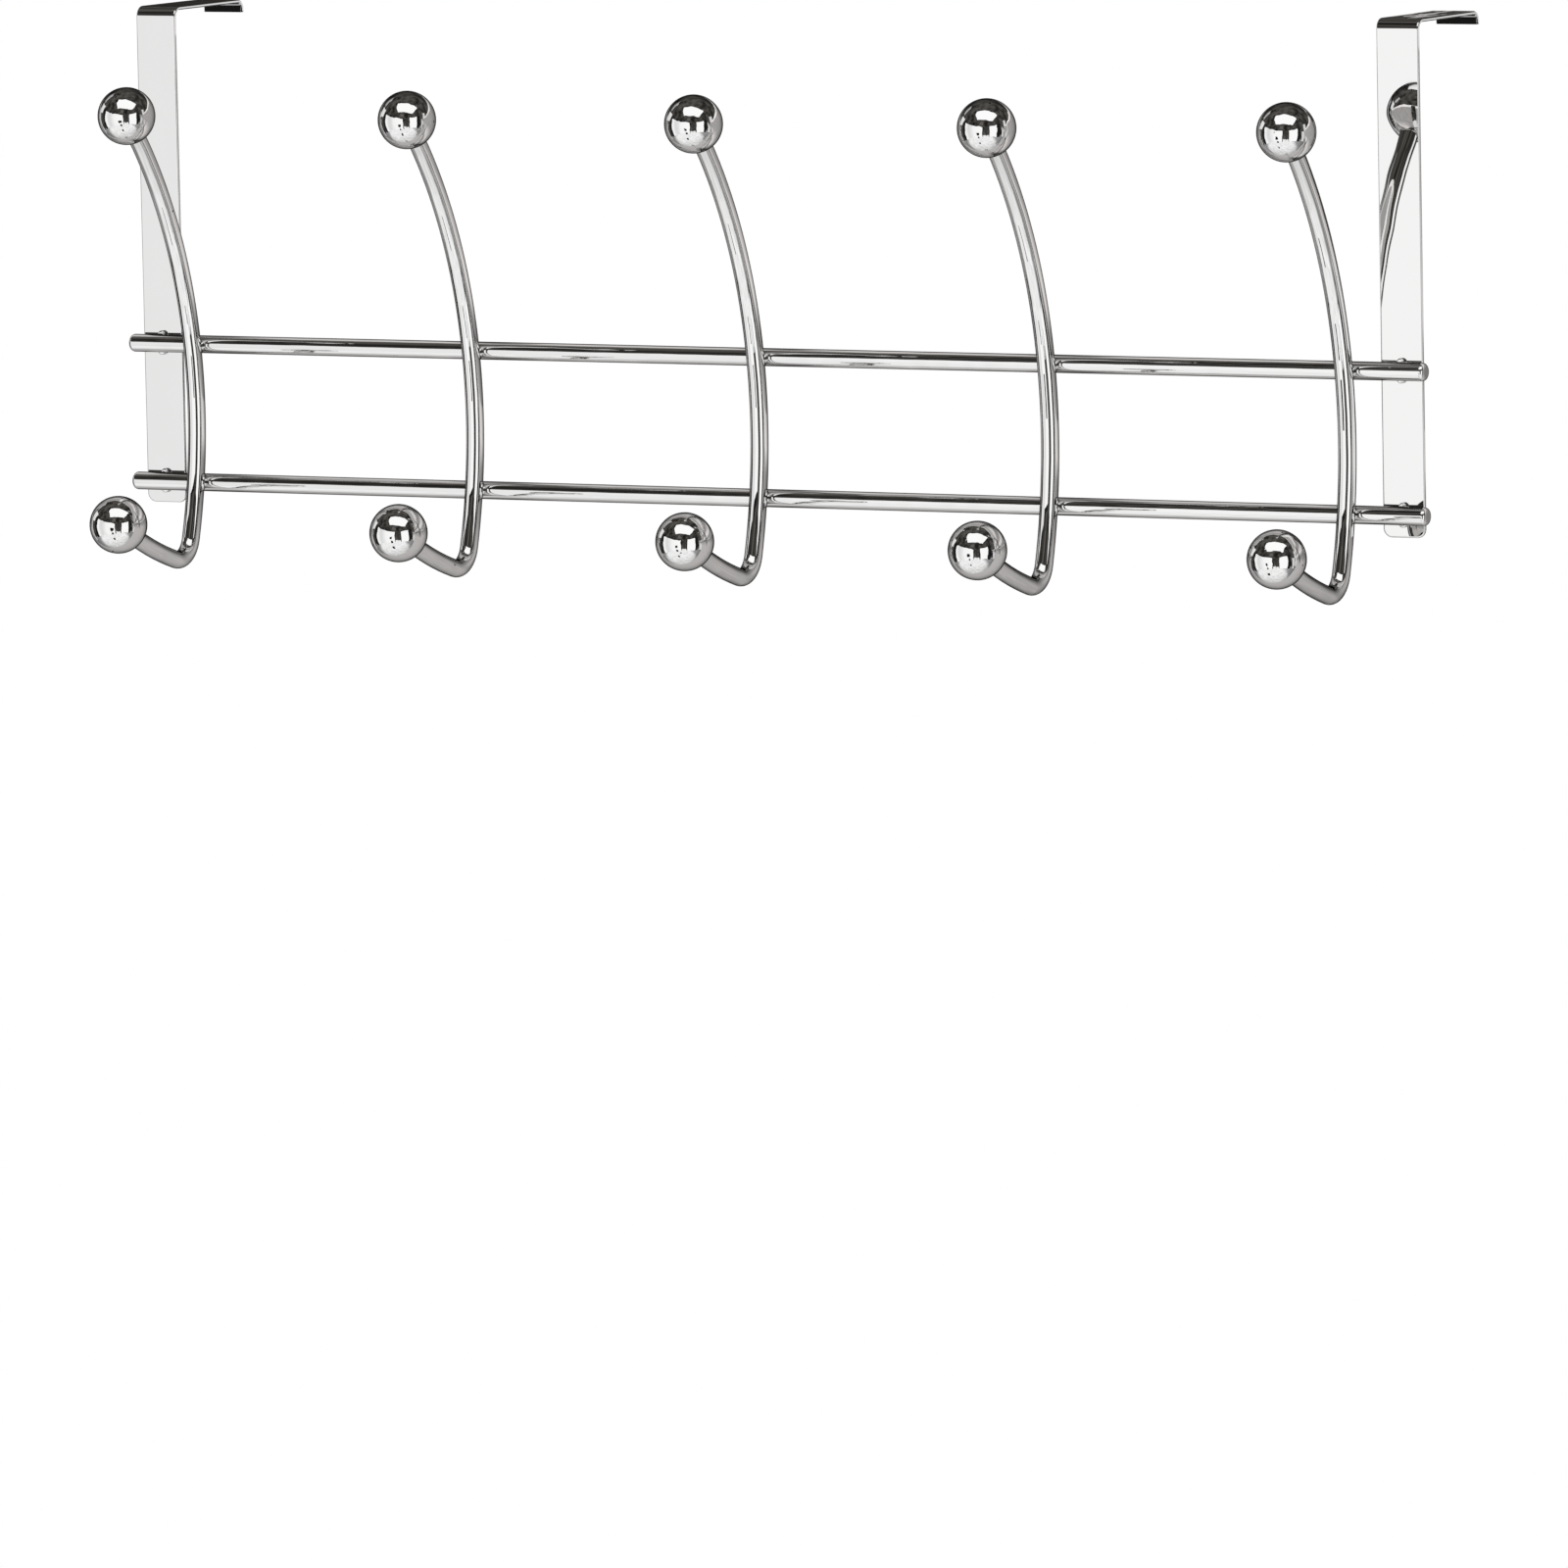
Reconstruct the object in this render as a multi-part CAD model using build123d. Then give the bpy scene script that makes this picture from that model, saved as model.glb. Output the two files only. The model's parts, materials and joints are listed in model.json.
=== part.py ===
# Over-door hook rack: five double hooks of bent wire on two bars, hung from a door by two folded straps.
# Frame: X runs along the bars, +Y into the door and +Z up. The origin lies on the door's front face at its
# top edge, midway between the straps. Sizes are in millimetres.
from build123d import *
import os
from math import asin, atan2, cos, degrees, hypot, sin, sqrt

# Rack layout
hook_count = 5
hook_pitch = 100.0
bar_overhang = 25.0         # from the end hook's axis to the end of the bar
bar_spacing = 43.5          # between the axes of the two bars
upper_bar_drop = 104.5      # from the door's top edge down to the upper bar's axis

# Bars
bar_diameter = 5.6
bar_end_round = 1.4

# Hook wire, measured on its centre line
wire_diameter = 5.6
stem_arc_radius = 138.0     # one long bow from the upper ball to the foot
upper_ball_rise = 74.4      # upper ball's centre above the upper bar's axis
bend_radius = 8.0           # tight bend at the foot
bend_drop = 22.9            # lowest point of the bend below the lower bar's axis
arm_arc_radius = 150.0      # the arm curls up slightly towards the lower ball
lower_ball_reach = 53.1     # lower ball's centre in front of the bars' axes
lower_ball_drop = 8.6       # lower ball's centre below the lower bar's axis

# Balls
ball_diameter = 18.0
bore_depth = 8.0            # blind bore for the end of the wire, from the ball's surface
bore_clearance = 0.05
bore_chamfer = 0.3

# Straps
strap_width = 14.0
strap_thickness = 1.2
strap_inset = 9.6           # from the end of the bar to the strap's middle
strap_tail = 6.9            # strap below the lower bar's axis
strap_corner_round = 2.8
strap_fold_radius = 2.2     # inside of both folds
strap_edge_round = 0.5      # the strip has rolled edges
edge_round_limit = 0.45     # most of the strip's thickness that the round of an edge may take
door_gap = 41.0
lip_straight = 0.8          # flat part of the lip below its fold

# Welds
wire_set_down = 0.5         # how far each hook wire is pressed into a bar
weld_clearance = 0.02
hook_weld_width = 0.9       # ring of weld metal around the pressed contact
bar_stand_off = 0.3         # between a bar and the strap behind it
nugget_width = 2.6
nugget_depth = 1.4
nugget_show = 1.0           # how far a nugget shows above and below its bar
nugget_round = 0.5

# Sizes and places that follow from those above
bar_radius = bar_diameter / 2
wire_radius = wire_diameter / 2
ball_radius = ball_diameter / 2
bar_length = (hook_count - 1) * hook_pitch + 2 * bar_overhang
hook_x = [(i - (hook_count - 1) / 2) * hook_pitch for i in range(hook_count)]
strap_x = bar_length / 2 - strap_inset
strap_front_y = -strap_thickness
bar_y = strap_front_y - bar_stand_off - bar_radius
upper_bar_z = -upper_bar_drop
lower_bar_z = upper_bar_z - bar_spacing
middle_z = (upper_bar_z + lower_bar_z) / 2

# The stem is an arc whose back is pressed into both bars by the same depth
stem_to_bar = stem_arc_radius + wire_radius + bar_radius - wire_set_down
stem_center_y = bar_y - sqrt(stem_to_bar**2 - (bar_spacing / 2) ** 2)
bar_angle = asin(bar_spacing / 2 / stem_to_bar)


def hook_line():
    """Centre line of one hook in the plane X = 0, from the end in the upper ball to the end in the lower ball."""
    stub = bore_depth - bore_clearance

    # The upper ball's centre lies one ball radius past the end of the stem's arc, along its tangent
    ball_height = upper_bar_z + upper_ball_rise - middle_z
    top_angle = asin(ball_height / hypot(stem_arc_radius, ball_radius)) - atan2(ball_radius, stem_arc_radius)
    top = Vector(stem_center_y + stem_arc_radius * cos(top_angle), middle_z + stem_arc_radius * sin(top_angle))
    down_stem = Vector(sin(top_angle), -cos(top_angle))

    # The bend touches the stem's arc from inside and reaches down to the given drop
    foot_drop = middle_z - (lower_bar_z - bend_drop)
    foot_angle = asin((foot_drop - bend_radius) / (stem_arc_radius - bend_radius))
    bend_center = Vector(
        stem_center_y + (stem_arc_radius - bend_radius) * cos(foot_angle),
        middle_z - (stem_arc_radius - bend_radius) * sin(foot_angle),
    )

    # The arm's arc touches the bend from outside, and its tangent runs through the lower ball's centre
    ball = Vector(bar_y - lower_ball_reach, lower_bar_z - lower_ball_drop)
    from_bend = arm_arc_radius - bend_radius
    from_ball = hypot(arm_arc_radius, ball_radius)
    chord = ball - bend_center
    along = (from_bend**2 - from_ball**2 + chord.length**2) / (2 * chord.length)
    across = sqrt(from_bend**2 - along**2)
    unit = chord.normalized()
    arm_center = bend_center + unit * along + Vector(unit.Y, -unit.X) * across
    to_arm_center = arm_center - bend_center
    to_ball = ball - arm_center
    arm_start_angle = atan2(to_arm_center.X, to_arm_center.Y)
    arm_end_angle = atan2(-to_ball.X, -to_ball.Y) - atan2(ball_radius, arm_arc_radius)

    upper_stub = Line(top - down_stem * stub, top)
    stem = JernArc(top, down_stem, stem_arc_radius, -degrees(top_angle + foot_angle))
    bend = JernArc(stem @ 1, stem % 1, bend_radius, -(90 + degrees(arm_start_angle - foot_angle)))
    arm = JernArc(bend @ 1, bend % 1, arm_arc_radius, -degrees(arm_end_angle - arm_start_angle))
    lower_stub = Line(arm @ 1, arm @ 1 + (arm % 1) * stub)
    return Plane.YZ * Wire([upper_stub, stem, bend, arm, lower_stub])


hook_center_line = hook_line()


def round_along(line, radius):
    """A round rod along a line."""
    return sweep(Plane(line @ 0, z_dir=line % 0) * Circle(radius), path=line)


def turned_ball():
    """One ball about the origin, with its bore opening upwards."""
    bore_radius = wire_radius + bore_clearance
    bore_bottom = ball_radius - bore_depth
    mouth_radius = bore_radius + bore_chamfer
    mouth = (mouth_radius, sqrt(ball_radius**2 - mouth_radius**2))
    outside = ThreePointArc((0, -ball_radius), (ball_radius, 0), mouth)
    inside = Polyline(
        mouth,
        (bore_radius, mouth[1] - bore_chamfer),
        (bore_radius, bore_bottom),
        (0, bore_bottom),
        (0, -ball_radius),
    )
    return revolve(Plane.XZ * make_face([outside, inside]), Axis.Z)


def ball_on(end, towards_wire):
    """A ball whose bore holds the end of a wire."""
    center = end - towards_wire * (ball_radius - bore_depth + bore_clearance)
    return Plane(center, z_dir=towards_wire) * turned_ball()


def rod_along_x(z, radius):
    """A straight round rod on the axis of the bar at height z."""
    return Pos(0, bar_y, z) * Rot(0, 90, 0) * Cylinder(radius, bar_length)


def bar(z):
    """A bar with rounded ends, dented where the hook wires are pressed into it."""
    rod = rod_along_x(z, bar_radius)
    rod = fillet(rod.edges().filter_by(GeomType.CIRCLE), bar_end_round)
    dent = round_along(hook_center_line, wire_radius + weld_clearance)
    return rod - [Pos(x, 0, 0) * dent for x in hook_x]


def strap(x):
    """Strip folded over the door: front leg, top leg and a short lip behind the door."""
    fold_outside = strap_fold_radius + strap_thickness
    top_z = strap_thickness
    tail_z = lower_bar_z - strap_tail
    lip_z = top_z - fold_outside - lip_straight
    back_y = door_gap + strap_thickness
    outside = FilletPolyline(
        (strap_front_y, tail_z), (strap_front_y, top_z), (back_y, top_z), (back_y, lip_z), radius=fold_outside
    )
    inside = FilletPolyline((0, tail_z), (0, 0), (door_gap, 0), (door_gap, lip_z), radius=strap_fold_radius)
    ends = [Line(outside @ 0, inside @ 0), Line(outside @ 1, inside @ 1)]
    section = Plane.YZ * make_face([*outside.edges(), *inside.edges(), *ends])
    strip = extrude(section, strap_width / 2, both=True)
    strip = fillet(strip.edges().filter_by(Axis.Y).group_by(Axis.Z)[0], strap_corner_round)
    sides = strip.faces().filter_by(Axis.X)
    strip = fillet(sides.edges(), min(strap_edge_round, edge_round_limit * strap_thickness))
    return Pos(x, 0, 0) * strip


def hook_weld(z, side):
    """Ring of weld metal round the contact of a hook wire and a bar, for the hook at X = 0."""
    contact = sqrt(2 * max(wire_radius, bar_radius) * (wire_set_down + 2 * weld_clearance))
    reach = stem_arc_radius + wire_radius - wire_set_down / 2
    facing = Vector(0, cos(bar_angle), side * sin(bar_angle))
    center = Vector(0, stem_center_y, middle_z) + facing * reach
    blank = Plane(center, z_dir=facing) * Cylinder(contact + hook_weld_width, wire_radius + bar_radius)
    wire = round_along(hook_center_line, wire_radius + weld_clearance)
    return blank - wire - rod_along_x(z, bar_radius + weld_clearance)


def strap_weld(x, z):
    """Weld nugget between a bar and the strap behind it."""
    outline = Plane.XZ * SlotOverall(bar_diameter + 2 * nugget_show, nugget_width, rotation=90)
    blank = extrude(outline, nugget_depth)
    blank = fillet(blank.edges().group_by(Axis.Y)[0], nugget_round)
    return Pos(x, strap_front_y, z) * blank - rod_along_x(z, bar_radius + weld_clearance)


parts = {"upper_bar": bar(upper_bar_z), "lower_bar": bar(lower_bar_z)}
hook_wire = round_along(hook_center_line, wire_radius)
upper_ball = ball_on(hook_center_line @ 0, hook_center_line % 0)
lower_ball = ball_on(hook_center_line @ 1, (hook_center_line % 1) * -1)
for number, x in enumerate(hook_x, start=1):
    parts[f"hook_wire_{number}"] = Pos(x, 0, 0) * hook_wire
    parts[f"upper_ball_{number}"] = Pos(x, 0, 0) * upper_ball
    parts[f"lower_ball_{number}"] = Pos(x, 0, 0) * lower_ball
parts["strap_left"] = strap(-strap_x)
parts["strap_right"] = strap(strap_x)
crossing_welds = [hook_weld(upper_bar_z, 1), hook_weld(lower_bar_z, -1)]
parts["hook_welds"] = Compound([Pos(x, 0, 0) * weld for x in hook_x for weld in crossing_welds])
parts["strap_welds"] = Compound(
    [strap_weld(x, z) for x in (-strap_x, strap_x) for z in (upper_bar_z, lower_bar_z)]
)

os.makedirs("parts", exist_ok=True)
for name, shape in parts.items():
    export_step(shape, f"parts/{name}.step")
print(f"{len(parts)} nodes, bars {bar_length:.1f} mm long, hook wire {hook_center_line.length:.1f} mm long")
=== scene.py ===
# %% [markdown]
# # An over-door hook rack in bright chrome
# The rack is five double hooks of bent wire on two bars, carried by two folded straps. Every piece is
# chrome plated, and chrome has hardly any colour of its own: it shows a small picture of the room around
# it. So the lesson has three steps. The camera comes first, then the room that the chrome will mirror,
# and last the finishes of the wire, the balls, the strip and the welds.

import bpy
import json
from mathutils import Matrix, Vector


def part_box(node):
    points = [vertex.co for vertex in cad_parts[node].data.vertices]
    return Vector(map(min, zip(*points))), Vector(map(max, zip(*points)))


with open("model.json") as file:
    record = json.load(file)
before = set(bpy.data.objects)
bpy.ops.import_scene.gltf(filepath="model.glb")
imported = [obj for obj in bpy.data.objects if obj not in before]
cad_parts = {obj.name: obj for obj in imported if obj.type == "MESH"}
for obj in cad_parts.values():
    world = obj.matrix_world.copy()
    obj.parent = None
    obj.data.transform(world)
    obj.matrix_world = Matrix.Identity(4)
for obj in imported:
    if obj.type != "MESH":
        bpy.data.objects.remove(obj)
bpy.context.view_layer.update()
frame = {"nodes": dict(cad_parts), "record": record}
nodes = frame["nodes"]

# %% [markdown]
# ## The camera
# A camera can be aimed by eye, by a constraint, or by numbers. Numbers are best when a picture has to be
# matched, and they need a point to start from. Here that is the rack's middle, midway between the two
# bars, and it comes from the boxes of the bars themselves.

# %% Middle of the rack
import bpy
from math import cos, pi, radians, sin
from mathutils import Matrix, Vector


def middle_of(*names):
    """Middle of the box round some nodes."""
    corners = [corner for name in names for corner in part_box(name)]
    low = Vector([min(corner[i] for corner in corners) for i in range(3)])
    high = Vector([max(corner[i] for corner in corners) for i in range(3)])
    return (low + high) / 2


rack_middle = middle_of("upper_bar", "lower_bar")
print("rack's middle in metres:", tuple(round(v, 4) for v in rack_middle))

# %% [markdown]
# The photograph was taken from far away with a long lens, a little above the rack and to its right. Two
# angles give the side that the camera stands on, and the roll gives its tilt. From them follow three
# directions: where it looks, and what is right and up in its picture.

# %% Directions of the camera
camera_azimuth = radians(28.0)
camera_elevation = radians(6.365)
camera_roll = radians(-1.133)

looking = Vector((
    -sin(camera_azimuth) * cos(camera_elevation),
    cos(camera_azimuth) * cos(camera_elevation),
    -sin(camera_elevation),
))
level_right = Vector((cos(camera_azimuth), sin(camera_azimuth), 0))
level_up = level_right.cross(looking)
picture_right = level_right * cos(camera_roll) + level_up * sin(camera_roll)
picture_up = level_up * cos(camera_roll) - level_right * sin(camera_roll)
print("camera looks along", tuple(round(v, 3) for v in looking))

# %% [markdown]
# The focal length is written in pixels of the photograph, as a fit gives it. The rack fills the upper part
# of the picture, so the camera stands off to the side of the rack's middle by as many pixels as that
# middle lies off the middle of the picture.

# %% Camera
scene = bpy.context.scene
photo_px = 1600
sensor_mm = 36.0
focal_px = 14097.0
camera_distance = 4.246
middle_in_photo = (780.2, 436.3)

metres_per_px = camera_distance / focal_px
off_right = (middle_in_photo[0] - photo_px / 2) * metres_per_px
off_down = (middle_in_photo[1] - photo_px / 2) * metres_per_px
camera_data = bpy.data.cameras.new("camera")
camera_data.sensor_width = sensor_mm
camera_data.lens = focal_px * sensor_mm / photo_px
camera = bpy.data.objects.new("camera", camera_data)
camera.matrix_world = Matrix((picture_right, picture_up, -looking)).transposed().to_4x4()
camera.location = rack_middle - looking * camera_distance - picture_right * off_right + picture_up * off_down
scene.collection.objects.link(camera)
scene.camera = camera
print("lens", round(camera_data.lens, 1), "mm, camera at", tuple(round(v, 3) for v in camera.location))

# %% [markdown]
# ## Light and background
# The photograph has a plain white background. A backdrop could give it, but a plain white world gives it in
# every direction, also when the rack is seen from behind. Standard keeps white as white, so no light has
# to be turned up for it.

# %% White world
scene.view_settings.view_transform = "Standard"
world = bpy.data.worlds.new("white_world")
world.use_nodes = True
background = world.node_tree.nodes["Background"]
background.inputs["Color"].default_value = (1, 1, 1, 1)
background.inputs["Strength"].default_value = 1.0
scene.world = world
print("white world, strength", background.inputs["Strength"].default_value)

# %% [markdown]
# ## The room that the chrome mirrors
# In a white world alone, chrome is white on white and vanishes. A photographer of bright metal works with
# cards: pale ones make the light planes, and black cloth makes the dark lines that draw the shape. The
# balls in the photograph show such a room: pale walls with dark gaps between them, a pale floor, a dark
# ceiling and one big softbox overhead. Every mesh of this room is a stage object, so it isn't part of the
# rack. Apart from the white floor, the camera doesn't see them, so the background stays white from every
# side, and only reflections find them.

# %% A piece of the room


def stage_object(name, vertices, faces, material):
    """A mesh of the room, which isn't part of the rack and is at first hidden from the camera."""
    mesh = bpy.data.meshes.new(name)
    mesh.from_pydata(vertices, [], faces)
    mesh.materials.append(material)
    thing = bpy.data.objects.new(name, mesh)
    thing.visible_camera = False
    scene.collection.objects.link(thing)
    return thing


def grid_faces(columns, rows):
    """Faces of a grid whose vertices are listed row by row."""
    width = columns + 1
    starts = [r * width + c for r in range(rows) for c in range(columns)]
    return [(start, start + 1, start + width + 1, start + width) for start in starts]


print("a grid of 2 by 1 has the faces", grid_faces(2, 1))

# %% [markdown]
# What a mirror shows depends on directions alone, so each card is given by its corners as seen from the
# rack, in degrees: sideways from straight in front (plus to the right), and up. A flat plane would need
# a place and a turn for each card. A grid on a sphere round the rack needs only those angles, and cards
# with the same angles at their edges meet without a gap.

# %% A card
room_radius = 3.6
card_steps = 16


def direction(sideways, upward):
    """Unit vector from the rack: sideways from straight in front, plus to the right, and up, in degrees."""
    s, u = radians(sideways), radians(upward)
    return Vector((sin(s) * cos(u), -cos(s) * cos(u), sin(u)))


def rectangle(left, right, low, high):
    """Corners at lower left, lower right, upper right and upper left."""
    return [(left, low), (right, low), (right, high), (left, high)]


def card(name, corners, material, radius=room_radius):
    """A curved card with corners at lower left, lower right, upper right and upper left."""
    lower_left, lower_right, upper_right, upper_left = [Vector(corner) for corner in corners]
    vertices = []
    for r in range(card_steps + 1):
        left = lower_left.lerp(upper_left, r / card_steps)
        right = lower_right.lerp(upper_right, r / card_steps)
        for c in range(card_steps + 1):
            vertices.append(rack_middle + direction(*left.lerp(right, c / card_steps)) * radius)
    return stage_object(name, vertices, grid_faces(card_steps, card_steps), material)


print("a card has", card_steps * card_steps, "faces, at", room_radius, "m from the rack")

# %% [markdown]
# A card in a mirror is only its own brightness. Lamps on painted cards would be true to a studio, but slow
# to balance. Plain emission says directly how bright each card is, and 1 mirrors as white. An even card
# has its level on the shader. A card that changes over its surface feeds the shader's colour instead.

# %% Light of a card
neutral = (1, 1, 1, 1)
warm_dark = (1, 0.94, 0.86, 1)
warm_grey = (1, 0.965, 0.95, 1)


def add_node(tree, kind, inputs=None, **settings):
    """A new shader node with its settings and input values."""
    node = tree.nodes.new("ShaderNode" + kind)
    for name, value in settings.items():
        setattr(node, name, value)
    for socket, value in (inputs or {}).items():
        node.inputs[socket].default_value = value
    return node


def join(tree, *pairs):
    """Link pairs of output and input."""
    for output, socket in pairs:
        tree.links.new(output, socket)


def glow(name, level=1.0, tone=neutral):
    """A card's own even light."""
    material = bpy.data.materials.new(name)
    material.use_nodes = True
    tree = material.node_tree
    tree.nodes.remove(tree.nodes["Principled BSDF"])
    light = add_node(tree, "Emission", {"Color": tone, "Strength": level})
    join(tree, (light.outputs["Emission"], tree.nodes["Material Output"].inputs["Surface"]))
    return material


def vary(material, level):
    """Let a level that changes over the card set its light, in the card's own tone."""
    tree = material.node_tree
    colour = tree.nodes["Emission"].inputs["Color"]
    tone = tuple(colour.default_value)
    tinted = add_node(tree, "Mix", {"Factor": 1.0, "A": tone}, data_type="RGBA", blend_type="MULTIPLY")
    join(tree, (level, tinted.inputs["B"]), (tinted.outputs["Result"], colour))


print("tones:", neutral, warm_dark, warm_grey)

# %% [markdown]
# ## Node groups
# An effect that several materials share is best built once, as a shader node group: a small tree with
# named inputs and outputs that each material places with its own values. Two helpers do the routine part,
# one for a new group and one for placing it.

# %% Helpers for groups


def new_group(name, inputs, output):
    """An empty shader group with number inputs and one number output."""
    group = bpy.data.node_groups.new(name, "ShaderNodeTree")
    for socket, value in inputs.items():
        made = group.interface.new_socket(socket, in_out="INPUT", socket_type="NodeSocketFloat")
        made.default_value = value
    group.interface.new_socket(output, in_out="OUTPUT", socket_type="NodeSocketFloat")
    return group, group.nodes.new("NodeGroupInput"), group.nodes.new("NodeGroupOutput")


def placed(tree, group, values):
    """A node group in a material, with its values."""
    return add_node(tree, "Group", values, node_tree=group)


print("node groups before the first:", len(bpy.data.node_groups))

# %% [markdown]
# Real cards are never quite even: cloth hangs in folds and paper has creases. Noise, stretched between two
# levels, gives such soft patches. Cloth, board and floor all use this group.

# %% Soft patches
patch_from = 0.35
patch_full = 0.65


def patch_group():
    """Soft patches of cloth or paper: a level between a low and a high one."""
    group, source, result = new_group("soft_patches", {"Per metre": 3.0, "Low": 0.8, "High": 1.05}, "Level")
    place = add_node(group, "TexCoord")
    noise = add_node(group, "TexNoise")
    levels = add_node(group, "MapRange", {"From Min": patch_from, "From Max": patch_full})
    join(
        group,
        (place.outputs["Object"], noise.inputs["Vector"]),
        (source.outputs["Per metre"], noise.inputs["Scale"]),
        (noise.outputs["Fac"], levels.inputs["Value"]),
        (source.outputs["Low"], levels.inputs["To Min"]),
        (source.outputs["High"], levels.inputs["To Max"]),
        (levels.outputs["Result"], result.inputs["Level"]),
    )
    return group


soft_patches = patch_group()


def patchy_glow(name, values, tone=neutral):
    """A card of crumpled cloth, from the values of its patches."""
    material = glow(name, tone=tone)
    vary(material, placed(material.node_tree, soft_patches, values).outputs["Level"])
    return material


print("group", soft_patches.name)

# %% [markdown]
# A wall is brighter where a lamp is near, so its level changes across the room. A group turns a place
# into an angle, sideways from straight in front, because the cards are given by such angles too.

# %% Angle in the room


def angle_group():
    """How far round the rack a place lies, from straight in front: an angle in radians."""
    group, _, result = new_group("room_angle", {}, "Angle")
    place = add_node(group, "TexCoord")
    centred = add_node(group, "VectorMath", {1: rack_middle}, operation="SUBTRACT")
    axes = add_node(group, "SeparateXYZ")
    front = add_node(group, "Math", {1: -1.0}, operation="MULTIPLY")
    angle = add_node(group, "Math", operation="ARCTAN2")
    join(
        group,
        (place.outputs["Object"], centred.inputs[0]),
        (centred.outputs["Vector"], axes.inputs["Vector"]),
        (axes.outputs["Y"], front.inputs[0]),
        (axes.outputs["X"], angle.inputs[0]),
        (front.outputs["Value"], angle.inputs[1]),
        (angle.outputs["Value"], result.inputs["Angle"]),
    )
    return group


room_angle = angle_group()
print("group", room_angle.name)

# %% [markdown]
# A colour ramp then gives each wall its own levels along that angle. A ramp runs from 0 to 1, so a Map
# Range node first brings the angle into that range. The same helper will do for heights on the board.

# %% Levels across the room


def levels_along(tree, value, stops):
    """Levels that change along a value. The stops are pairs of value and level, in rising order."""
    first, last = stops[0][0], stops[-1][0]
    share = add_node(tree, "MapRange", {"From Min": first, "From Max": last})
    ramp = add_node(tree, "ValToRGB")
    elements = ramp.color_ramp.elements
    while len(elements) < len(stops):
        elements.new(position=0.5)
    for element, (place, level) in zip(elements, stops):
        element.position = (place - first) / (last - first)
        element.color = (level, level, level, 1)
    join(tree, (value, share.inputs["Value"]), (share.outputs["Result"], ramp.inputs["Fac"]))
    return ramp.outputs["Color"]


def sideways_glow(name, stops):
    """A card whose light changes across the room. The stops are pairs of degrees sideways and level."""
    material = glow(name)
    tree = material.node_tree
    angle = placed(tree, room_angle, {}).outputs["Angle"]
    vary(material, levels_along(tree, angle, [(radians(degrees), level) for degrees, level in stops]))
    return material


print("front is at", radians(0), "and right at", round(radians(90), 3), "radians")

# %% [markdown]
# ## Cards in front
# Two pale walls stand in front, with a dark gap between them where the camera is. In that gap stands the
# grey camera stand, and above it a lamp's arm reaches in. Pale cards on black stands have black edges,
# which draw the crisp dark lines between the light planes. So each wall has a larger black card right
# behind it, which reaches furthest at the wall's outer side. The left wall is a little dimmer where the
# straps mirror it.

# %% Front walls
rim_gap = 0.036
rim_top = 3.0
rim_sides = {"left": (12.0, 3.0), "right": (3.0, 12.0)}
rim_black = glow("rim_black", 0.012)
front_walls = {
    "left": [(-66, -30), (12.3, -29), (12.3, 9.5), (-64, 16.5)],
    "right": [(39, -29), (69, -28), (69, 15.5), (39, 11.5)],
}
left_levels = [(-72, 1.0), (-58, 1.0), (-50, 0.8), (-42, 0.76), (-36, 0.85), (-34, 0.87)]
left_levels += [(-30.5, 0.89), (-25.5, 0.985), (-14, 1.02), (16, 1.06)]
wall_lights = {"left": sideways_glow("wall_pale", left_levels), "right": glow("wall_bright", 1.05)}


def rim(side, corners):
    """A black card behind a pale wall, larger at both sides and at the top."""
    to_left, to_right = rim_sides[side]
    widen = rectangle(-to_left, to_right, 0, rim_top)
    grown = [(sideways + dx, upward + dy) for (sideways, upward), (dx, dy) in zip(corners, widen)]
    return card(f"rim_{side}", grown, rim_black, room_radius + rim_gap)


for side, corners in front_walls.items():
    card(f"wall_{side}", corners, wall_lights[side])
    rim(side, corners)
card("camera_stand", rectangle(24, 28, -24, 14), glow("stand_grey", 0.04, warm_dark))
card("lamp_arm", rectangle(1, 15, 17.5, 27), glow("lamp_arm_grey", 0.13, warm_dark))
print("walls:", sorted(front_walls))

# %% [markdown]
# At both sides of the rack the room goes on. On the left are a window, the pale frame below it and a grey
# cloth above, and on the right a strip of pale wall that steps back halfway up.

# %% Sides of the room
cloth_folds = {"Low": 0.3, "High": 0.6, "Per metre": 3.0}
strip_pale = glow("strip_pale", 0.7)

card("side_window", [(-101, 7), (-82, 7), (-76, 25), (-100, 24)], glow("window_pale", 0.9))
card("side_frame", rectangle(-103, -92.5, -30, 7), glow("frame_pale", 0.7))
card("side_cloth", [(-104, 27), (-92, 27), (-98, 47), (-117, 46)], patchy_glow("side_grey", cloth_folds))
card("side_strip_low", [(90, -25), (98, -25), (97, 5), (86, 5)], strip_pale)
card("side_strip_high", [(97, 5), (107, 5), (109, 24), (98, 24)], strip_pale)
print("side cloth between", cloth_folds["Low"], "and", cloth_folds["High"])

# %% [markdown]
# Three small black clamps hang in the room in front, nearer than the walls. They make the same dots in
# every ball. Specks painted on the balls would look alike, but these move over each ball as they should
# when the rack is turned. Each clamp is a small square card, given by its middle and half its width.

# %% Clamps
clamp_distance = 1.5
clamp_black = glow("clamp_black", 0.01)
clamps = {
    "clamp_upper": {"sideways": -5, "upward": -14.6, "half": 5.0},
    "clamp_middle": {"sideways": -3, "upward": -28.6, "half": 3.5},
    "clamp_lower": {"sideways": -5.5, "upward": -51, "half": 4.5},
}


def square(sideways, upward, half):
    """Corners of a square about a middle."""
    return rectangle(sideways - half, sideways + half, upward - half, upward + half)


for name, place in clamps.items():
    card(name, square(**place), clamp_black, clamp_distance)
print("clamps:", sorted(clamps))

# %% [markdown]
# ## Behind and all round
# Behind the rack the room is pale as well, low down, so that the backs of the straps shine when the rack
# is seen from behind. Higher up only a window is pale: the straps' top legs mirror it in streaks.

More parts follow.
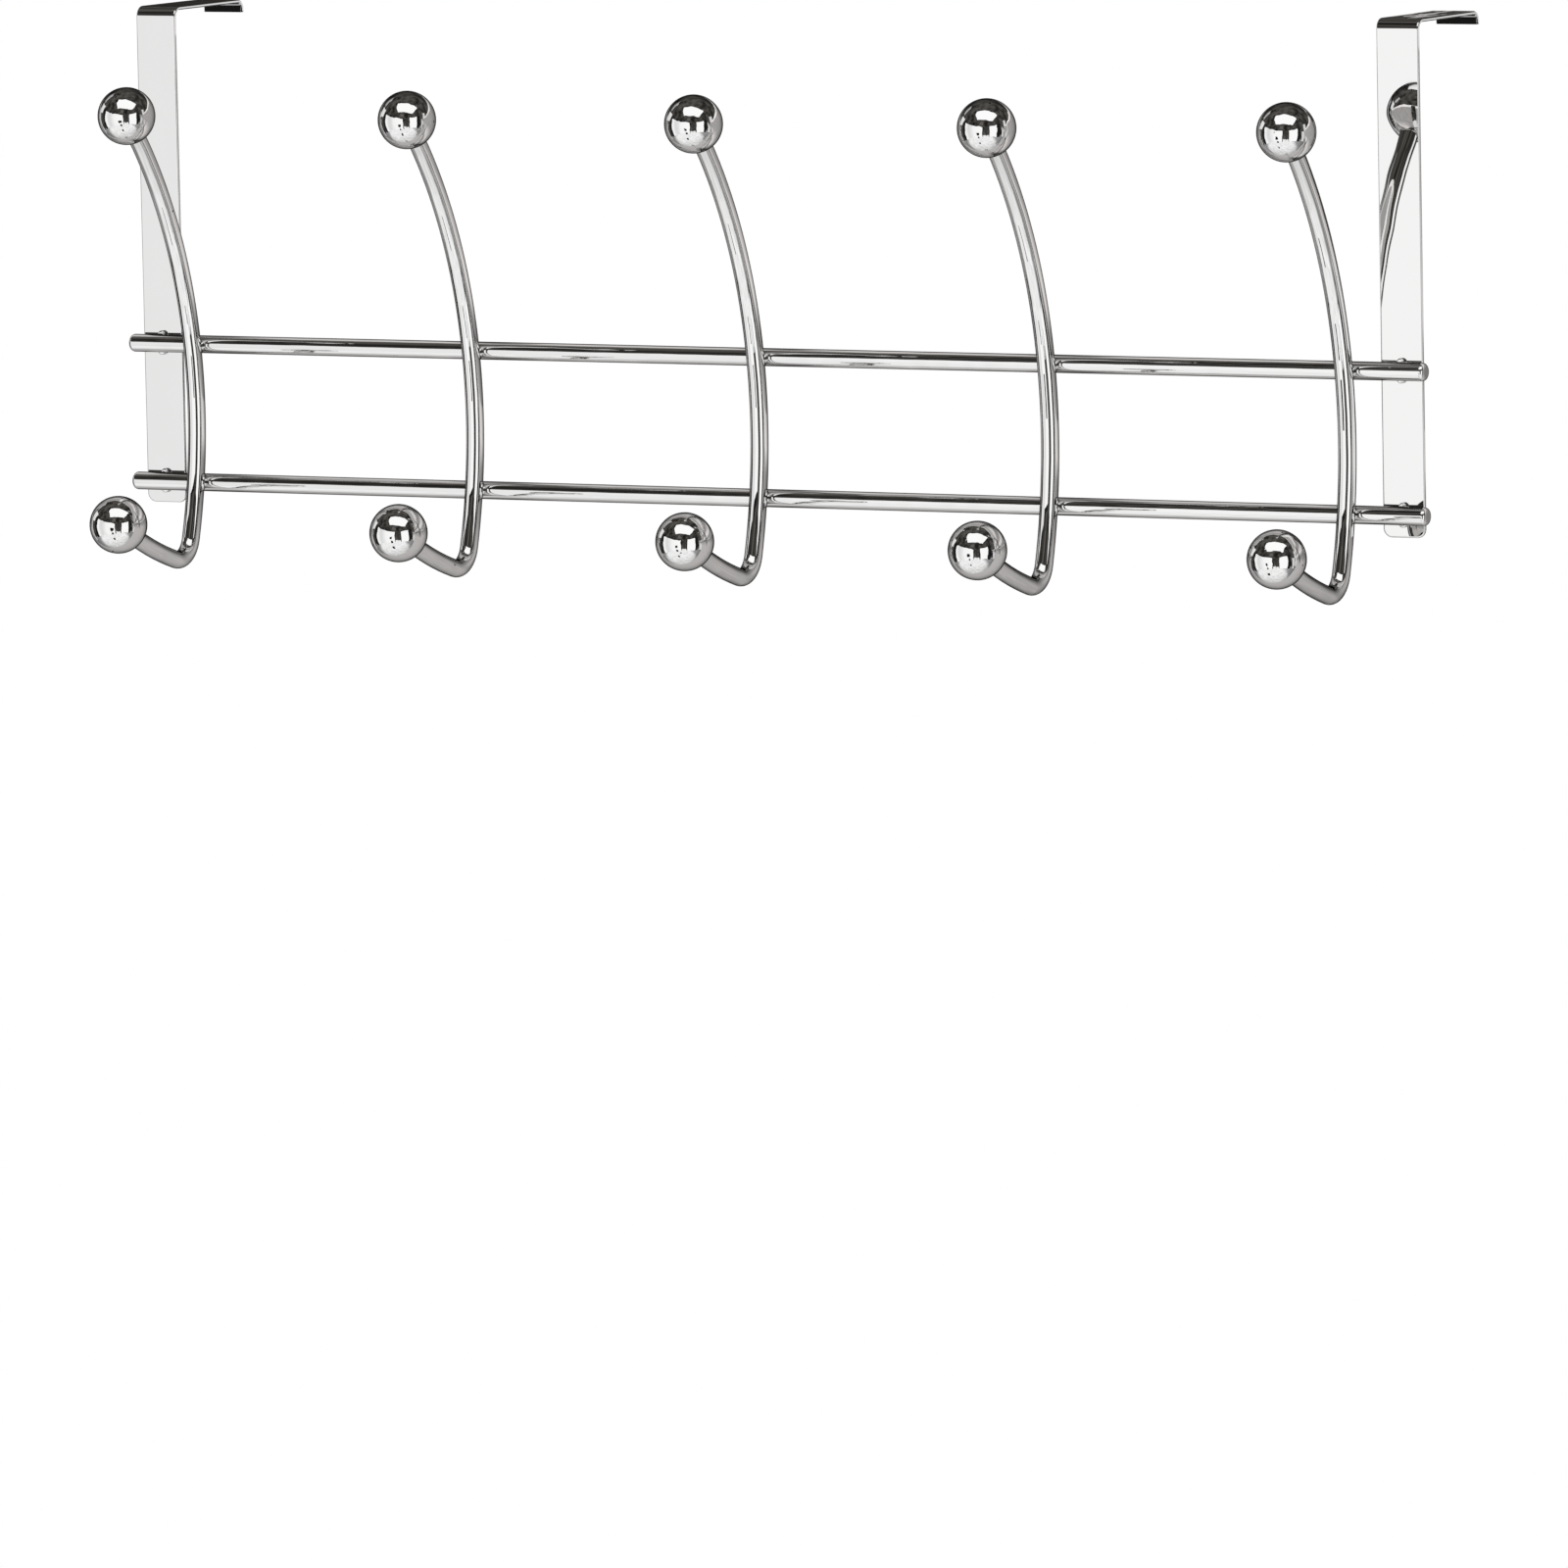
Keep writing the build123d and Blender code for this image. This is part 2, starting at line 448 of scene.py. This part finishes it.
# %% Back of the room
back_radius = 5.0
back_floor_radius = 1.9
back_levels = [(95, 0.62), (125, 0.95), (150, 0.8), (166, 0.9)]
back_levels += [(167, 0.12), (170, 0.12), (171, 0.86), (180, 0.7)]

card("back_right", rectangle(100, 180, -19, 9), sideways_glow("back_pale", back_levels), back_radius)
card("back_left", rectangle(180, 262, -19, -7), glow("back_grey", 0.75), back_radius)
card("back_floor", rectangle(100, 260, -88, -33), glow("back_floor", 0.6), back_floor_radius)
card("far_window", rectangle(-178, -151, 5, 16), glow("far_pale", 0.85, warm_grey), back_radius)
print("back of the room at", back_radius, "m, its floor at", back_floor_radius, "m")

# %% [markdown]
# All round hangs dark cloth, behind every card. It could be a dark world, but then the background would
# be dark as well. A dome of faces round the whole room keeps the two apart.

# %% Dark cloth
dome_radius = 6.0
dome_columns = 48
dome_rows = 24
dark_folds = {"Low": 0.014, "High": 0.095, "Per metre": 0.6}

dome_vertices = []
for r in range(dome_rows + 1):
    for c in range(dome_columns + 1):
        upward = -90 + 180 * r / dome_rows
        dome_vertices.append(rack_middle + direction(360 * c / dome_columns, upward) * dome_radius)
dark_cloth = patchy_glow("dark_cloth", dark_folds, warm_dark)
dome = stage_object("dark_dome", dome_vertices, grid_faces(dome_columns, dome_rows), dark_cloth)
print("dome of", len(dome.data.polygons), "faces, radius", dome_radius, "m")

# %% [markdown]
# ## The board behind the rack
# The rack hangs on something, and its chrome shows that too: the undersides of the arms, the right-hand
# side of every ball and a thin line along the top of each bar mirror a grey board right behind it. The
# board is darker close to the bars, which shade it, lighter a little above each bar, and bright along its
# top edge, under the softbox. Real shadows on a painted board would be grainy in such small mirrors, so
# the levels are written as pairs of height and level.

# %% Levels of the board
board_top = -0.0005
board_low_to = -0.2
board_level = 0.39
board_low_level = 0.5
board_lit = 0.8
board_fading = 0.68
board_shaded = 0.34
board_contact = 0.28
board_edge = 0.95
board_edge_height = 0.007
board_edge_blur = 0.001
below_bar = -0.018
above_bar = 0.05
near_bar = [(-0.009, board_shaded), (-0.002, board_contact), (0.002, board_contact), (0.007, board_shaded)]
near_bar += [(0.014, board_lit), (0.025, board_fading)]


def board_levels():
    """Pairs of height and level, from the foot of the board to its top edge."""
    stops = [(board_low_to, board_low_level)]
    for name, level_below in (("lower_bar", board_low_level), ("upper_bar", board_level)):
        height = middle_of(name).z
        stops.append((height + below_bar, level_below))
        stops += [(height + offset, level) for offset, level in near_bar]
    edge_from = board_top - board_edge_height
    stops.append((middle_of("upper_bar").z + above_bar, board_level))
    stops.append((edge_from - board_edge_blur, board_level))
    return stops + [(edge_from, board_edge), (board_top, board_edge)]


print("board has", len(board_levels()), "levels")

# %% [markdown]
# The hooks shade the board as well, in upright bands at the hooks' own pitch. Wrapping X at that pitch
# gives the distance to the nearest hook, so one band does for all five. The board's back is painted shade,
# black.

# %% Material of the board
hook_shade = 0.3
hook_shade_reach = (0.004, 0.018)
hook_shade_heights = [(-0.185, 0.0), (-0.17, 1.0), (-0.09, 1.0), (-0.05, 0.0)]
# The board's back is painted shade: nothing lights it, so it is nearly black.
board_back_shade = 0.01
board_mottle = {"Low": 0.92, "High": 1.08, "Per metre": 90.0}


def board_material():
    """Grey board with painted soft shade close to the rack, and a back in painted shade."""
    material = glow("board_grey", tone=warm_grey)
    tree = material.node_tree
    pitch = middle_of("hook_wire_2").x - middle_of("hook_wire_1").x
    near, far = hook_shade_reach
    place = add_node(tree, "TexCoord")
    axes = add_node(tree, "SeparateXYZ")
    from_hook = add_node(tree, "Math", {1: pitch / 2, 2: -pitch / 2}, operation="WRAP")
    beside = add_node(tree, "Math", operation="ABSOLUTE")
    shade = add_node(tree, "MapRange", {"From Min": near, "From Max": far, "To Min": hook_shade})
    near_hook = add_node(tree, "Mix", {"A": 1.0})
    shaded = add_node(tree, "Math", operation="MULTIPLY")
    mottle = placed(tree, soft_patches, board_mottle)
    mottled = add_node(tree, "Math", operation="MULTIPLY")
    side = add_node(tree, "NewGeometry")
    shown = add_node(tree, "Mix", {"B": board_back_shade})
    join(
        tree,
        (place.outputs["Object"], axes.inputs["Vector"]),
        (axes.outputs["X"], from_hook.inputs[0]),
        (from_hook.outputs["Value"], beside.inputs[0]),
        (beside.outputs["Value"], shade.inputs["Value"]),
        (shade.outputs["Result"], near_hook.inputs["B"]),
        (levels_along(tree, axes.outputs["Z"], hook_shade_heights), near_hook.inputs["Factor"]),
        (levels_along(tree, axes.outputs["Z"], board_levels()), shaded.inputs[0]),
        (near_hook.outputs["Result"], shaded.inputs[1]),
        (shaded.outputs["Value"], mottled.inputs[0]),
        (mottle.outputs["Level"], mottled.inputs[1]),
        (mottled.outputs["Value"], shown.inputs["A"]),
        (side.outputs["Backfacing"], shown.inputs["Factor"]),
    )
    vary(material, shown.outputs["Result"])
    return material


board_grey = board_material()
print("material", board_grey.name)

# %% [markdown]
# The board is five panels side by side. The two below the straps end at the straps' feet, so that the backs
# of the straps stay free, and the cuts between the panels come from the boxes of the straps.

# %% Panels of the board
board_half_width = 0.42
board_bottom = -1.4
board_face = 0.0006
board_gap = 0.0005

strap_sides = [corner.x for name in ("strap_left", "strap_right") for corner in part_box(name)]
strap_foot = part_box("strap_left")[0].z
cuts = [-board_half_width, *sorted(strap_sides), board_half_width]
for number, (left, right) in enumerate(zip(cuts, cuts[1:])):
    below_strap = number % 2 == 1
    top = strap_foot if below_strap else board_top
    spread = board_gap if below_strap else -board_gap
    outline = rectangle(left - spread, right + spread, board_bottom, top)
    corners = [(x, board_face, z) for x, z in outline]
    panel = stage_object(f"board_{number + 1}", corners, [(0, 1, 2, 3)], board_grey)
print("board faces the front:", panel.data.polygons[0].normal.y < 0)

# %% [markdown]
# ## The softbox
# The softbox is a plain rectangle overhead and in front, about twice as wide as deep, turned and tilted a
# little. An area light is the right tool: it lights the scene, and the chrome mirrors it as a white
# rectangle. Its power follows from its size, so that it mirrors as plain white.

# %% Softbox
softbox_place = Vector((0.706, -1.411, 2.0))
softbox_width = 3.25
softbox_depth = 1.81
softbox_turn = radians(14.3)
softbox_tilt = radians(15.9)
softbox_level = 1.06

softbox_along = Vector((cos(softbox_turn), sin(softbox_turn), 0))
level_across = Vector((-sin(softbox_turn), cos(softbox_turn), 0))
softbox_across = level_across * cos(softbox_tilt) + Vector((0, 0, sin(softbox_tilt)))
softbox_up = softbox_along.cross(softbox_across)
softbox_light = bpy.data.lights.new("softbox", "AREA")
softbox_light.shape = "RECTANGLE"
softbox_light.size = softbox_width
softbox_light.size_y = softbox_depth
softbox_light.energy = softbox_level * pi * softbox_width * softbox_depth
softbox = bpy.data.objects.new("softbox", softbox_light)
softbox.matrix_world = Matrix((softbox_along, softbox_across, softbox_up)).transposed().to_4x4()
softbox.location = rack_middle + softbox_place
softbox.visible_camera = False
scene.collection.objects.link(softbox)
print("softbox", softbox_width, "by", softbox_depth, "m,", round(softbox_light.energy, 1), "W")

# %% [markdown]
# A black cover behind the softbox makes its dark rim, and a three-cornered black flag across one corner
# keeps its light out of the fold of the right strap, where the photograph is dark.

# %% Cover and flag of the softbox
softbox_rim = 0.14
cover_gap = 0.02
flag_margin = 0.1
flag_width = 0.42
flag_depth = 0.9

cover_middle = softbox.location + softbox_up * cover_gap
half_along = softbox_along * (softbox_width / 2 + softbox_rim)
half_across = softbox_across * (softbox_depth / 2 + softbox_rim)
cover_corners = [cover_middle + half_along * a + half_across * b for a, b in rectangle(-1, 1, -1, 1)]
stage_object("softbox_cover", cover_corners, [(0, 1, 2, 3)], rim_black)

flag_corner = softbox.location - softbox_up * cover_gap - softbox_along * (softbox_width / 2 + flag_margin)
flag_corner += softbox_across * (softbox_depth / 2 + flag_margin)
flag_side = flag_corner + softbox_along * flag_width
flag_front = flag_corner - softbox_across * flag_depth
stage_object("softbox_flag", [flag_corner, flag_side, flag_front], [(0, 1, 2)], rim_black)
print("cover reaches", softbox_rim, "m past the softbox, flag", flag_width, "by", flag_depth, "m")

# %% [markdown]
# ## The floor
# The floor is two metres below the door's top edge, as in any room. The camera sees it as plain white
# paper. In the chrome it is brightest in front, under the softbox, and falls off below the rack. Seen
# from underneath it lets the camera through, so the rack can be looked at from below.

# %% Material of the floor
floor_drop = 2.0
floor_seen_level = 1.0
floor_creases = {"Low": 0.8, "High": 1.05, "Per metre": 3.0}
pool_middle = Vector((0, -2.4, -floor_drop))
forward_falloff = {"From Min": -1.6, "From Max": 1.6, "To Min": 0.34, "To Max": 1.0}
pool_falloff = {"From Min": 2.35, "From Max": 3.1, "To Min": 1.0, "To Max": 0.38}


def floor_material():
    """White paper to the camera, and a soft fall-off of light to reflections."""
    material = glow("floor_paper")
    tree = material.node_tree
    place = add_node(tree, "TexCoord")
    forward = add_node(tree, "VectorMath", {1: direction(0, 0)}, operation="DOT_PRODUCT")
    falloff = add_node(tree, "MapRange", forward_falloff, interpolation_type="SMOOTHSTEP")
    from_pool = add_node(tree, "VectorMath", {1: pool_middle}, operation="DISTANCE")
    pool = add_node(tree, "MapRange", pool_falloff, interpolation_type="SMOOTHSTEP")
    lit = add_node(tree, "Math", operation="MULTIPLY")
    creases = placed(tree, soft_patches, floor_creases)
    creased = add_node(tree, "Math", operation="MULTIPLY")
    rays = add_node(tree, "LightPath")
    shown = add_node(tree, "Mix", {"B": floor_seen_level})
    side = add_node(tree, "NewGeometry")
    clear = add_node(tree, "BsdfTransparent")
    one_sided = add_node(tree, "MixShader")
    join(
        tree,
        (place.outputs["Object"], forward.inputs[0]),
        (forward.outputs["Value"], falloff.inputs["Value"]),
        (place.outputs["Object"], from_pool.inputs[0]),
        (from_pool.outputs["Value"], pool.inputs["Value"]),
        (falloff.outputs["Result"], lit.inputs[0]),
        (pool.outputs["Result"], lit.inputs[1]),
        (lit.outputs["Value"], creased.inputs[0]),
        (creases.outputs["Level"], creased.inputs[1]),
        (creased.outputs["Value"], shown.inputs["A"]),
        (rays.outputs["Is Camera Ray"], shown.inputs["Factor"]),
        (side.outputs["Backfacing"], one_sided.inputs["Fac"]),
        (tree.nodes["Emission"].outputs["Emission"], one_sided.inputs[1]),
        (clear.outputs["BSDF"], one_sided.inputs[2]),
        (one_sided.outputs["Shader"], tree.nodes["Material Output"].inputs["Surface"]),
    )
    vary(material, shown.outputs["Result"])
    return material


floor_paper = floor_material()
print("material", floor_paper.name)

# %% [markdown]
# A round floor has no corners that a ball could mirror. Its middle lies a little to the right of the rack
# and in front, so that its far edge falls where the photograph has it.

# %% Floor
floor_middle = Vector((0.55, -0.25, -floor_drop))
floor_radius = 4.2
floor_steps = 96

floor_angles = [360 * step / floor_steps for step in range(floor_steps)]
floor_edge = [floor_middle + direction(angle, 0) * floor_radius for angle in floor_angles]
floor = stage_object("floor", floor_edge, [tuple(range(floor_steps))], floor_paper)
floor.visible_camera = True
print("floor normal points up:", floor.data.polygons[0].normal.z > 0)

# %% [markdown]
# ## Chrome
# Bright chrome is a metal with a very smooth skin. Four things keep it from looking like a computed
# mirror: the drawn wire and rolled strip under the plate are never quite even, so reflections waver a
# little; wiping leaves a faint haze in patches; the plate has a few pits; and its reflection dims just
# before the edge of a round. The first three are shader node groups, and each finish places those that it
# needs with its own values. The last is the Specular Tint of a metal in the Principled shader. All three
# groups count their features per metre, and may count them differently along Y, the way that the straps'
# top legs run.

# %% Place on the rack


def rack_place(group, source):
    """The place on the rack, counted in features along and across Y."""
    place = add_node(group, "TexCoord")
    factors = add_node(group, "CombineXYZ")
    counted = add_node(group, "VectorMath", operation="MULTIPLY")
    join(
        group,
        (source.outputs["Across per metre"], factors.inputs["X"]),
        (source.outputs["Along Y per metre"], factors.inputs["Y"]),
        (source.outputs["Across per metre"], factors.inputs["Z"]),
        (place.outputs["Object"], counted.inputs[0]),
        (factors.outputs["Vector"], counted.inputs[1]),
    )
    return counted.outputs["Vector"]


def counts(per_metre):
    """The two counts of an even effect."""
    return {"Across per metre": per_metre, "Along Y per metre": per_metre}


print("an even effect:", counts(60.0))

# %% [markdown]
# The ripple is smooth noise that a Bump node turns into small tilts of the skin. Its height is in metres,
# and the Bump's own distance is set to one metre, so a height means the same on every piece. Modelled
# waves would do too, but they are no higher than a hair is thick and would need a very fine mesh.

# %% Ripple


def ripple_group():
    """Uneven metal under the plate: a height for bump, about zero."""
    inputs = {**counts(60.0), "Height in metres": 0.00004}
    group, source, result = new_group("plate_ripple", inputs, "Height")
    noise = add_node(group, "TexNoise", {"Scale": 1.0, "Detail": 1.0})
    centred = add_node(group, "Math", {1: 0.5}, operation="SUBTRACT")
    height = add_node(group, "Math", operation="MULTIPLY")
    join(
        group,
        (rack_place(group, source), noise.inputs["Vector"]),
        (noise.outputs["Fac"], centred.inputs[0]),
        (centred.outputs["Value"], height.inputs[0]),
        (source.outputs["Height in metres"], height.inputs[1]),
        (height.outputs["Value"], result.inputs["Height"]),
    )
    return group


plate_ripple = ripple_group()
print("group", plate_ripple.name)

# %% [markdown]
# The haze is a roughness: nearly nothing over most of the plate, and a little in patches, where the noise
# is high.

# %% Haze
haze_from = 0.45
haze_full = 0.75


def haze_group():
    """Faint patches left by wiping: a roughness."""
    inputs = {**counts(45.0), "Clear": 0.0, "Hazy": 0.05}
    group, source, result = new_group("wiping_haze", inputs, "Roughness")
    noise = add_node(group, "TexNoise", {"Scale": 1.0})
    levels = add_node(group, "MapRange", {"From Min": haze_from, "From Max": haze_full})
    join(
        group,
        (rack_place(group, source), noise.inputs["Vector"]),
        (noise.outputs["Fac"], levels.inputs["Value"]),
        (source.outputs["Clear"], levels.inputs["To Min"]),
        (source.outputs["Hazy"], levels.inputs["To Max"]),
        (levels.outputs["Result"], result.inputs["Roughness"]),
    )
    return group


wiping_haze = haze_group()
print("group", wiping_haze.name)

# %% [markdown]
# Pits are small dots, a few on each ball and fewer on the wire. Voronoi cells give a point each, the
# distance to it makes a dot, and the cell's own random colour says which cells have one.

# %% Pits


def pit_group():
    """A few pits in the plate: a mask that is 1 in a pit."""
    inputs = {**counts(350.0), "Size": 0.12, "Share of cells": 0.1}
    group, source, result = new_group("plate_pits", inputs, "Pit")
    cells = add_node(group, "TexVoronoi", {"Scale": 1.0})
    chance = add_node(group, "SeparateColor")
    inside = add_node(group, "Math", operation="LESS_THAN")
    chosen = add_node(group, "Math", operation="LESS_THAN")
    both = add_node(group, "Math", operation="MULTIPLY")
    join(
        group,
        (rack_place(group, source), cells.inputs["Vector"]),
        (cells.outputs["Distance"], inside.inputs[0]),
        (source.outputs["Size"], inside.inputs[1]),
        (cells.outputs["Color"], chance.inputs["Color"]),
        (chance.outputs["Red"], chosen.inputs[0]),
        (source.outputs["Share of cells"], chosen.inputs[1]),
        (inside.outputs["Value"], both.inputs[0]),
        (chosen.outputs["Value"], both.inputs[1]),
        (both.outputs["Value"], result.inputs["Pit"]),
    )
    return group


plate_pits = pit_group()
print("group", plate_pits.name)

# %% [markdown]
# Every finish is one Principled shader, fully metallic. The ripple goes through a Bump node, the haze is
# its roughness, and a finish with pits mixes their dark tone into the plate's pale grey.

# %% A chrome finish
metal_base = (0.90, 0.90, 0.895, 1)
pit_tone = (0.08, 0.08, 0.08, 1)


def chrome(name, edge, waver, haze, pits=None):
    """One chrome finish, from how bright its edges stay and the values of its groups."""
    material = bpy.data.materials.new(name)
    material.use_nodes = True
    tree = material.node_tree
    skin = tree.nodes["Principled BSDF"]
    skin.inputs["Base Color"].default_value = metal_base
    skin.inputs["Metallic"].default_value = 1.0
    skin.inputs["Specular Tint"].default_value = (edge, edge, edge, 1)
    bump = add_node(tree, "Bump", {"Distance": 1.0})
    join(
        tree,
        (placed(tree, plate_ripple, waver).outputs["Height"], bump.inputs["Height"]),
        (bump.outputs["Normal"], skin.inputs["Normal"]),
        (placed(tree, wiping_haze, haze).outputs["Roughness"], skin.inputs["Roughness"]),
    )
    if pits:
        pit = placed(tree, plate_pits, pits).outputs["Pit"]
        plate = add_node(tree, "Mix", {"A": metal_base, "B": pit_tone}, data_type="RGBA")
        join(tree, (pit, plate.inputs["Factor"]), (plate.outputs["Result"], skin.inputs["Base Color"]))
    return material


print("plate", metal_base[:3], "and pits", pit_tone[:3])

# %% [markdown]
# Four finishes share the groups. The wire is drawn and wavers most, the balls are turned and polished,
# the strip is rolled flat, and the weld metal under its plate is rough. Only the wire and the balls have
# pits to be seen. The edge value is how much light a finish keeps just before the edge of a round: none on
# wire and balls, whose outlines are dark in the photograph, and some on straps and welds. The record says
# which finish each piece has.

# %% Finishes


def ripple(height, per_metre):
    """Values of an even ripple."""
    return {**counts(per_metre), "Height in metres": height}


finish_values = {
    "chrome_wire": {
        "edge": 0.0,
        "waver": ripple(0.00025, 80.0),
        "haze": {"Hazy": 0.03},
        "pits": {"Share of cells": 0.02},
    },
    "chrome_ball": {
        "edge": 0.0,
        "waver": ripple(0.00005, 500.0),
        "haze": {"Hazy": 0.02},
        "pits": {"Share of cells": 0.16},
    },
    "chrome_strap": {"edge": 0.3, "waver": ripple(0.0001, 60.0), "haze": {"Hazy": 0.06}},
    "chrome_weld": {"edge": 0.3, "waver": ripple(0.0001, 900.0), "haze": {"Clear": 0.08, "Hazy": 0.2}},
}
finishes = {name: chrome(name, **values) for name, values in finish_values.items()}
for part in frame["record"]["subparts"]:
    node = nodes[part["node"]]
    node.data.materials.clear()
    node.data.materials.append(finishes[part["material_slot"]])
print("finishes:", sorted(finishes))

# %% [markdown]
# Folding leaves the straps' top legs a little wavy along their length. From the side that is hidden, but
# the camera looks along these legs, and there the smallest tilt turns dark cloth into window, in streaks.
# The same ripple group makes the waves, longer along Y and higher, and a mask by height keeps them on the
# legs.

# %% Wavy top legs
wave = {"Across per metre": 160.0, "Along Y per metre": 25.0, "Height in metres": 0.0003}
wave_from = 0.0006
wave_full = 0.0011


def add_wave(material):
    """Waves on the part of a strap that lies on the door."""
    tree = material.node_tree
    bump = tree.nodes["Bump"]
    ripple_height = bump.inputs["Height"].links[0].from_socket
    place = add_node(tree, "TexCoord")
    axes = add_node(tree, "SeparateXYZ")
    on_top = add_node(tree, "MapRange", {"From Min": wave_from, "From Max": wave_full})
    masked = add_node(tree, "Math", operation="MULTIPLY")
    total = add_node(tree, "Math", operation="ADD")
    join(
        tree,
        (place.outputs["Object"], axes.inputs["Vector"]),
        (axes.outputs["Z"], on_top.inputs["Value"]),
        (on_top.outputs["Result"], masked.inputs[0]),
        (placed(tree, plate_ripple, wave).outputs["Height"], masked.inputs[1]),
        (masked.outputs["Value"], total.inputs[0]),
        (ripple_height, total.inputs[1]),
        (total.outputs["Value"], bump.inputs["Height"]),
    )


add_wave(finishes["chrome_strap"])
print("waves up to", wave["Height in metres"] * 1000, "mm")

# %% [markdown]
# ## Size
# The looks must not change the rack's size.

# %% Size
import json
